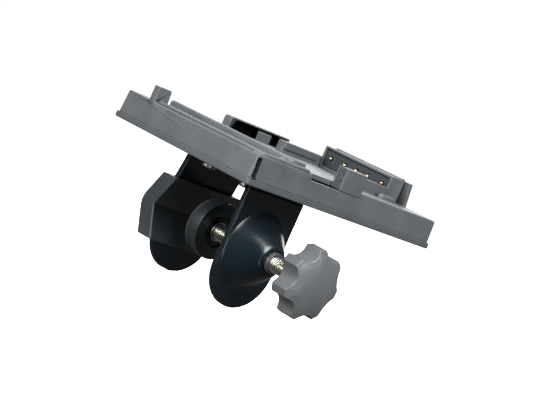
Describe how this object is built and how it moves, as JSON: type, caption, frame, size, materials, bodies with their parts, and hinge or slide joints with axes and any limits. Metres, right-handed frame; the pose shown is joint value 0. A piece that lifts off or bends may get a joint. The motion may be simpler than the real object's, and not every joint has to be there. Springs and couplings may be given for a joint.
{
  "type": "battery plate with pole clamp",
  "caption": "Battery mounting plate with sprung contacts and a release slider, on a U bracket pole clamp closed by a screw with a star knob and a swivel pad.",
  "frame": {"origin": "on the clamp screw's axis, midway between the clamp's two legs, where a gripped pole passes", "axes": "+X along the gripped pole and the plate's length, towards the contacts; +Y from the knob to the V jaw; +Z out of the plate's battery side"},
  "size_m": [0.141, 0.1199, 0.0882],
  "materials": {
    "case_plastic": "satin moulded black plastic with a fine grain",
    "base_plastic": "matt moulded black plastic",
    "painted_steel": "semi-gloss black paint on bent steel",
    "jaw_plastic": "satin black moulding",
    "knob_plastic": "satin charcoal plastic",
    "screw_zinc": "zinc plated threaded steel",
    "fastener_steel": "dark zinc plated steel",
    "contact_gold": "gold plated",
    "spring_steel": "bright spring steel",
    "block_plastic": "dark insulating plastic",
    "board": "green circuit board",
    "pad_rubber": "black rubber",
    "pad_paint": "satin black paint",
    "bush_steel": "black painted steel",
    "wire_insulation": "wire insulation",
    "socket_plastic": "black plastic"
  },
  "bodies": {
    "frame": {"base_plate": "base_plastic", "top_case": "case_plastic", "case_screws": "fastener_steel", "bracket_screws": "fastener_steel", "bracket_nuts": "fastener_steel", "contact_housing": "case_plastic", "housing_screws": "fastener_steel", "contact_block": "block_plastic", "contact_board": "board", "return_spring": "spring_steel", "output_socket": "socket_plastic", "socket_pin": "contact_gold", "output_wires": "wire_insulation", "clamp_bracket": "painted_steel", "threaded_bush": "bush_steel", "fixed_jaw": "jaw_plastic", "contact_spring_1": "spring_steel", "contact_spring_2": "spring_steel", "contact_spring_3": "spring_steel", "contact_spring_4": "spring_steel", "contact_spring_5": "spring_steel"},
    "slider": {"release_slider": "case_plastic", "release_bar": "base_plastic"},
    "latch": {"latch_tongue": "case_plastic"},
    "pad_carrier": {"pad_washer": "fastener_steel"},
    "pad": {"swivel_pad": "pad_paint", "pad_face": "pad_rubber"},
    "screw": {"clamp_screw": "screw_zinc", "star_knob": "knob_plastic", "knob_insert": "fastener_steel"},
    "pin_1": {"contact_pin_1": "contact_gold"},
    "pin_2": {"contact_pin_2": "contact_gold"},
    "pin_3": {"contact_pin_3": "contact_gold"},
    "pin_4": {"contact_pin_4": "contact_gold"},
    "pin_5": {"contact_pin_5": "contact_gold"}
  },
  "joints": [
    {"name": "slider_travel", "type": "slide", "parent": "frame", "child": "slider", "axis": [-1, 0, 0], "range_m": [0, 0.01], "stiffness_N_per_m": 200, "springref_m": -0.006, "deforming": ["return_spring"]},
    {"name": "latch_travel", "type": "slide", "parent": "frame", "child": "latch", "axis": [0, 1, 0], "range_m": [0, 0.0021]},
    {"name": "jaw_travel", "type": "slide", "parent": "frame", "child": "pad_carrier", "axis": [0, 1, 0], "range_m": [-0.021, 0.007]},
    {"name": "pad_tilt", "type": "hinge", "parent": "pad_carrier", "child": "pad", "pos_m": [0, 0.0043, 0], "axis": [1, 0, 0], "range_deg": [-3, 3]},
    {"name": "screw_turn", "type": "hinge", "parent": "pad_carrier", "child": "screw", "pos_m": [0, 0, 0], "axis": [0, 1, 0], "range_deg": [-6060, 2030]},
    {"name": "contact_1_press", "type": "slide", "parent": "frame", "child": "pin_1", "axis": [1, 0, 0], "range_m": [0, 0.0012], "stiffness_N_per_m": 600, "springref_m": -0.0015, "deforming": ["contact_spring_1"]},
    {"name": "contact_2_press", "type": "slide", "parent": "frame", "child": "pin_2", "axis": [1, 0, 0], "range_m": [0, 0.0012], "stiffness_N_per_m": 600, "springref_m": -0.0015, "deforming": ["contact_spring_2"]},
    {"name": "contact_3_press", "type": "slide", "parent": "frame", "child": "pin_3", "axis": [1, 0, 0], "range_m": [0, 0.0012], "stiffness_N_per_m": 600, "springref_m": -0.0015, "deforming": ["contact_spring_3"]},
    {"name": "contact_4_press", "type": "slide", "parent": "frame", "child": "pin_4", "axis": [1, 0, 0], "range_m": [0, 0.0012], "stiffness_N_per_m": 600, "springref_m": -0.0015, "deforming": ["contact_spring_4"]},
    {"name": "contact_5_press", "type": "slide", "parent": "frame", "child": "pin_5", "axis": [1, 0, 0], "range_m": [0, 0.0012], "stiffness_N_per_m": 600, "springref_m": -0.0015, "deforming": ["contact_spring_5"]}
  ],
  "couplings": [
    {"joint": "latch_travel", "follows": "slider_travel", "ratio": 0.2},
    {"joint": "screw_turn", "follows": "jaw_travel", "rad_per_m": 5026.5}
  ]
}
